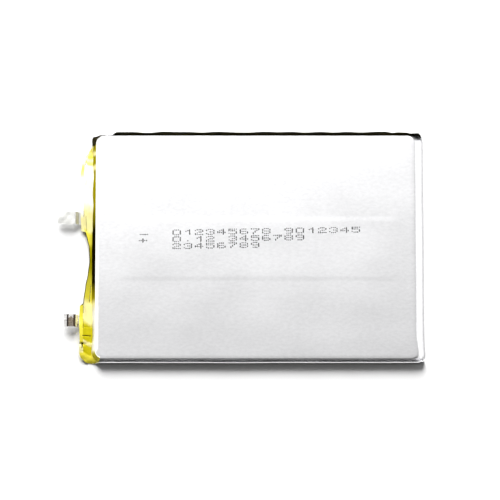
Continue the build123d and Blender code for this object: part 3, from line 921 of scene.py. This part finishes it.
# The far side seal ends in a fold round the corner, its colour painted shade: outer and inner edge
# as (X, Y), and height.
CORNER_FOLD = (
    (-47.6, 36.80, -47.6, 36.52, 2.90),
    (-49.0, 36.65, -48.9, 36.30, 2.88),
    (-50.3, 36.30, -49.5, 35.90, 2.85),
    (-51.3, 36.15, -49.9, 35.45, 2.80),
    (-51.6, 35.60, -50.2, 34.80, 2.75),
    (-51.6, 34.70, -50.5, 34.20, 2.70),
    (-51.45, 33.70, -50.95, 33.75, 2.60),
    (-51.30, 33.40, -51.05, 33.40, 2.50),
)
CORNER_ROWS, CORNER_COLUMNS, CORNER_THICKNESS = 60, 9, 0.2
# How far the fold hangs between its edges, its wrinkles, and how much higher its inner edge is.
CORNER_SAG, CORNER_WRINKLES, CORNER_RISE = 0.35, (0.08, 1.6, 51), 0.45


def make_corner_fold():
    steps = np.linspace(0, 1, len(CORNER_FOLD))
    stations = [(step, *row) for step, row in zip(steps, CORNER_FOLD)]
    outer_x, outer_y, inner_x, inner_y, height = through(stations, np.linspace(0, 1, CORNER_ROWS)).T
    columns = []
    for share in np.linspace(0, 1, CORNER_COLUMNS):
        x = outer_x + share * (inner_x - outer_x)
        y = outer_y + share * (inner_y - outer_y)
        sag = (CORNER_SAG + waves(CORNER_WRINKLES, x, y)) * sin(pi * share)
        columns.append(np.stack([x, y, height - sag + CORNER_RISE * share], axis=1))
    grid = np.stack(columns, axis=1)
    piece = sheet("far_corner_fold", grid, CORNER_THICKNESS, [MATERIALS["painted_fold_shade"]])
    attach(piece, "cell")


# ---- Tabs ----

# A tab's mesh has a row each TAB_STEP from its tip to FINE_END, and few rows from there to the roll.
TAB_STEP, FINE_END, COARSE_ROWS, TAB_COLUMNS = 0.1, -48.0, 12, 17
# Outside the terrace the foil stands this much higher than the CAD's, and waves a little. The ends
# are the X between which each of the two sets in.
TAB_LIFT, TAB_LIFT_ENDS = 1.5, (-57.1, -55.6)
TAB_WAVE = {"positive": (0.02, 3.0, 41), "negative": (0.02, 3.0, 42)}
TAB_WAVE_ENDS = (-57.4, -56.4)
# The negative tab's root climbs between these X, and is level in the roll from ROOT_LEVEL on.
ROOT_RAMP, ROOT_LEVEL = (-50.4, -49.2), -31.0
# The raised crease across the negative tab: its height, its ends, and the length of each flank.
CREASE_RISE, CREASE_OUTER, CREASE_INNER = 0.55, -59.5, -56.75
OUTER_FLANK, INNER_FLANK, FLANK_SPILL = 0.6, 0.7, 0.05
# The arch of painted reflection on the crease: its middle, half its length, how far it reaches across
# the tab, and how much less it reaches at its ends.
ARCH_X = (CREASE_OUTER + CREASE_INNER) / 2 - 0.05
ARCH_HALF, ARCH_REACH, ARCH_DROP = 0.8, 1.25, 0.9
NICKEL_LOOKS = ("nickel_tab", "nickel_painted_shade", "nickel_painted_reflection")


def root_height(name):
    """Height of the upper side of a tab's inner end, inside the roll."""
    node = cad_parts[name + "_tab_root"]
    return max(v.co.z for v in node.data.vertices if v.co.x > ROOT_LEVEL * MM) / MM


def tab_height(x, name):
    """Height of the tab's upper side along X, from its tip to the roll."""
    level = TAB_BOX[name][0][2] + TAB
    slope = (level - SEALED_TAB_Z) / (TERRACE_BEND - TERRACE_TOP)
    height = level - slope * np.clip(x - TERRACE_TOP, 0, TERRACE_BEND - TERRACE_TOP)
    if name == "negative":
        height = np.maximum(height, SEALED_TAB_Z)
        height = height + (root_height(name) - SEALED_TAB_Z) * smooth(*ROOT_RAMP, x)
        outer = smooth(CREASE_OUTER, CREASE_OUTER + OUTER_FLANK, x)
        inner = 1 - smooth(CREASE_INNER - INNER_FLANK, CREASE_INNER, x)
        height = height + CREASE_RISE * outer * inner
    return height


def crease_slots(x, y):
    """Painted shade on the flanks of the negative tab's raised crease, and the painted reflection of
    an arch on top of it.
    """
    slots = np.zeros(x.shape, int)
    dark = NICKEL_LOOKS.index("nickel_painted_shade")
    slots[(x > CREASE_OUTER) & (x < CREASE_OUTER + OUTER_FLANK)] = dark
    slots[(x > CREASE_INNER - INNER_FLANK) & (x < CREASE_INNER + FLANK_SPILL)] = dark
    arch = ARCH_REACH - ARCH_DROP * ((x - ARCH_X) / ARCH_HALF) ** 2
    slots[(np.abs(x - ARCH_X) < ARCH_HALF) & (y < arch)] = NICKEL_LOOKS.index("nickel_painted_reflection")
    return slots


def make_tab(name):
    low, high = TAB_BOX[name]
    inner = node_box(name + "_tab_root")[1][0]
    fine = np.arange(low[0], FINE_END, TAB_STEP)
    xs = np.concatenate([fine, np.linspace(FINE_END, inner, COARSE_ROWS)])
    ys = np.linspace(low[1], high[1], TAB_COLUMNS)
    x, y = np.meshgrid(xs, ys, indexing="ij")
    z = tab_height(x, name) + until(TAB_LIFT, *TAB_LIFT_ENDS, x)
    z = z + until(1, *TAB_WAVE_ENDS, x) * waves(TAB_WAVE[name], x, y)
    grid = np.stack([x, y, z], axis=2)
    if name == "positive":
        piece = sheet(name + "_tab_foil", grid, TAB, [MATERIALS["aluminium_tab"]])
    else:
        materials = [MATERIALS[look] for look in NICKEL_LOOKS]
        slots = crease_slots(grid[:-1, :-1, 0], grid[:-1, :-1, 1] - TAB_Y[name])
        piece = sheet(name + "_tab_foil", grid, TAB, materials, 0, slots, slots)
    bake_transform(piece)
    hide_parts(name + "_tab", name + "_tab_root")


# ---- Printing ----

# Each character as seven rows of five dots.
DIGITS = {
    "0": "01110 10001 10001 10001 10001 10001 01110",
    "1": "00010 00110 01010 00010 00010 00010 00010",
    "2": "01110 10001 00001 00110 01000 10000 11111",
    "3": "01110 10001 00001 00110 00001 10001 01110",
    "4": "00010 00110 01010 10010 11111 00010 00010",
    "5": "11111 10000 11110 00001 00001 10001 01110",
    "6": "01110 10000 10000 11110 10001 10001 01110",
    "7": "11111 00001 00010 00100 00100 01000 01000",
    "8": "01110 10001 10001 01110 10001 10001 01110",
    "9": "01110 10001 10001 01111 00001 00001 01110",
    "-": "00000 00000 00000 11111 00000 00000 00000",
    "+": "00000 00100 00100 11111 00100 00100 00000",
    ".": "00000 00000 00000 00000 00000 00100 00000",
}
MIDDLE_ROW = 3
# The dots' pitch along a line and down it, their radius, and how much that and their places vary.
DOT_ACROSS, DOT_DOWN, DOT_RADIUS = 0.58, 0.26, 0.21
DOT_VARIATION, DOT_JITTER = (0.85, 1.12), 0.015
DOT_SIDES = 10
PRINT_THICKNESS, PRINT_SINK = 0.012, 0.004
CHARACTER_PITCH = 3.62
PRINT_LEFT = -25.3
PRINT_TILT = radians(0.9)
# Each line of print: its characters, its left end and its middle.
PRINT_LINES = (
    ("012345678 9012345", PRINT_LEFT, 4.6),
    ("0.12 3456789", PRINT_LEFT, 2.35),
    ("23456789", PRINT_LEFT, 0.1),
    ("-", -35.9, 4.1),
    ("+", -36.2, 2.1),
)


def print_dots():
    """Centre of every printed dot."""
    dots = []
    for text, left, middle in PRINT_LINES:
        for place, character in enumerate(text):
            for row, bits in enumerate(DIGITS.get(character, "").split()):
                for column, bit in enumerate(bits):
                    if bit == "1":
                        x = left + place * CHARACTER_PITCH + column * DOT_ACROSS
                        tilt = (x - PRINT_LEFT) * sin(PRINT_TILT)
                        dots.append((x, middle + (MIDDLE_ROW - row) * DOT_DOWN + tilt))
    return np.array(dots)


def make_print():
    """Every dot as a thin disk of ink that follows the face's relief."""
    rng = np.random.default_rng(11)
    points, faces = [], []
    for x, y in print_dots():
        radius = DOT_RADIUS * rng.uniform(*DOT_VARIATION)
        x, y = x + rng.normal(0, DOT_JITTER), y + rng.normal(0, DOT_JITTER)
        base = len(points)
        top = base + DOT_SIDES
        for height in (0.0, PRINT_THICKNESS):
            for side in range(DOT_SIDES):
                angle = 2 * pi * side / DOT_SIDES
                rim_x, rim_y = x + radius * cos(angle), y + radius * sin(angle)
                z = FACE_Z + face_relief(rim_x, rim_y) + height - PRINT_SINK
                points.append((rim_x, rim_y, z))
        faces.append(list(range(top - 1, base - 1, -1)))
        faces.append(list(range(top, top + DOT_SIDES)))
        for side in range(DOT_SIDES):
            after = (side + 1) % DOT_SIDES
            faces.append([base + side, base + after, top + after, top + side])
    piece = new_piece("face_print", points, faces, [MATERIALS["ink"]])
    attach(piece, "cell")


# ---- Floor, light and camera ----

# Distances and sizes here are metres, apart from the sensor's width, and directions are degrees.
CAMERA_AZIMUTH, CAMERA_ELEVATION, CAMERA_DISTANCE = -90, 80, 1.3
FRAME_WIDTH = 0.1615
SENSOR = 36.0
CLIP = (0.01, 20.0)
TARGET = Vector((-0.44, -1.15, FACE_Z)) * MM
FLOOR_HALF = 6.0


def aim_at_target(name, data, azimuth, elevation, distance):
    """A camera or light that faces the target, from an azimuth counted from +X and an elevation."""
    azimuth, elevation = radians(azimuth), radians(elevation)
    flat = cos(elevation)
    back = Vector((flat * cos(azimuth), flat * sin(azimuth), sin(elevation)))
    aimed = bpy.data.objects.new(name, data)
    bpy.context.scene.collection.objects.link(aimed)
    aimed.location = TARGET + back * distance
    aimed.rotation_euler = back.to_track_quat("Z", "Y").to_euler()
    return aimed


def make_camera():
    data = bpy.data.cameras.new("camera")
    data.sensor_width = SENSOR
    data.lens = SENSOR * CAMERA_DISTANCE / FRAME_WIDTH
    data.clip_start, data.clip_end = CLIP
    bpy.context.scene.camera = aim_at_target(
        "camera", data, CAMERA_AZIMUTH, CAMERA_ELEVATION, CAMERA_DISTANCE
    )


def make_floor():
    material = new_material("floor", 0.0, 0.75, Specular_IOR_Level=0.2)
    noise = add_noise(material, (40, 40, 40))
    colour_from(material, noise, (0.90, 0.90, 0.90), (0.93, 0.93, 0.93))
    mesh = bpy.data.meshes.new("floor")
    corners = [(x * FLOOR_HALF, y * FLOOR_HALF, 0) for x, y in ((-1, -1), (1, -1), (1, 1), (-1, 1))]
    mesh.from_pydata(corners, [], [(0, 1, 2, 3)])
    mesh.materials.append(material)
    floor = bpy.data.objects.new("floor", mesh)
    bpy.context.scene.collection.objects.link(floor)


# How bright the studio is from the near side, from the far side and, added to those, from the right.
# The lobes say between which parts of a direction's Y and X it changes.
WORLD_NEAR, WORLD_FAR, WORLD_RIGHT = 0.02, 0.30, 0.8
FAR_LOBE, RIGHT_LOBE = (-0.6, 0.9), (0.5, 1.0)


def make_world():
    world = bpy.data.worlds.new("studio")
    bpy.context.scene.world = world
    world.use_nodes = True
    tree = world.node_tree
    direction = coordinates(tree, "Generated")
    far = map_range(tree, direction["Y"], FAR_LOBE, (WORLD_NEAR, WORLD_FAR))
    right = map_range(tree, direction["X"], RIGHT_LOBE, (0.0, WORLD_RIGHT))
    background = tree.nodes["Background"]
    background.inputs["Color"].default_value = (1.0, 1.0, 1.0, 1)
    tree.links.new(added(tree, far, right), background.inputs["Strength"])


# Each softbox: direction (azimuth from +X, elevation) in degrees, distance and size in metres, watts.
SOFTBOXES = {
    "key": (99, 38, 0.95, 0.86, 21.2),
    "overhead": (100, 80, 0.95, 0.60, 0.17),
    "right": (20, 45, 0.95, 0.14, 0.2),
}


def make_softbox(name, azimuth, elevation, distance, size, power):
    data = bpy.data.lights.new(name, "AREA")
    data.shape = "DISK"
    data.size = size
    data.energy = power
    aim_at_target(name, data, azimuth, elevation, distance)


make_camera()
make_floor()
make_world()
for box_name, box_setting in SOFTBOXES.items():
    make_softbox(box_name, *box_setting)
dress_cad_nodes()
make_cup()
make_cover()
make_terrace()
make_corner_fold()
for tab_name in TAB_NAMES:
    make_tab(tab_name)
make_print()

bpy.context.scene.view_settings.view_transform = "Standard"
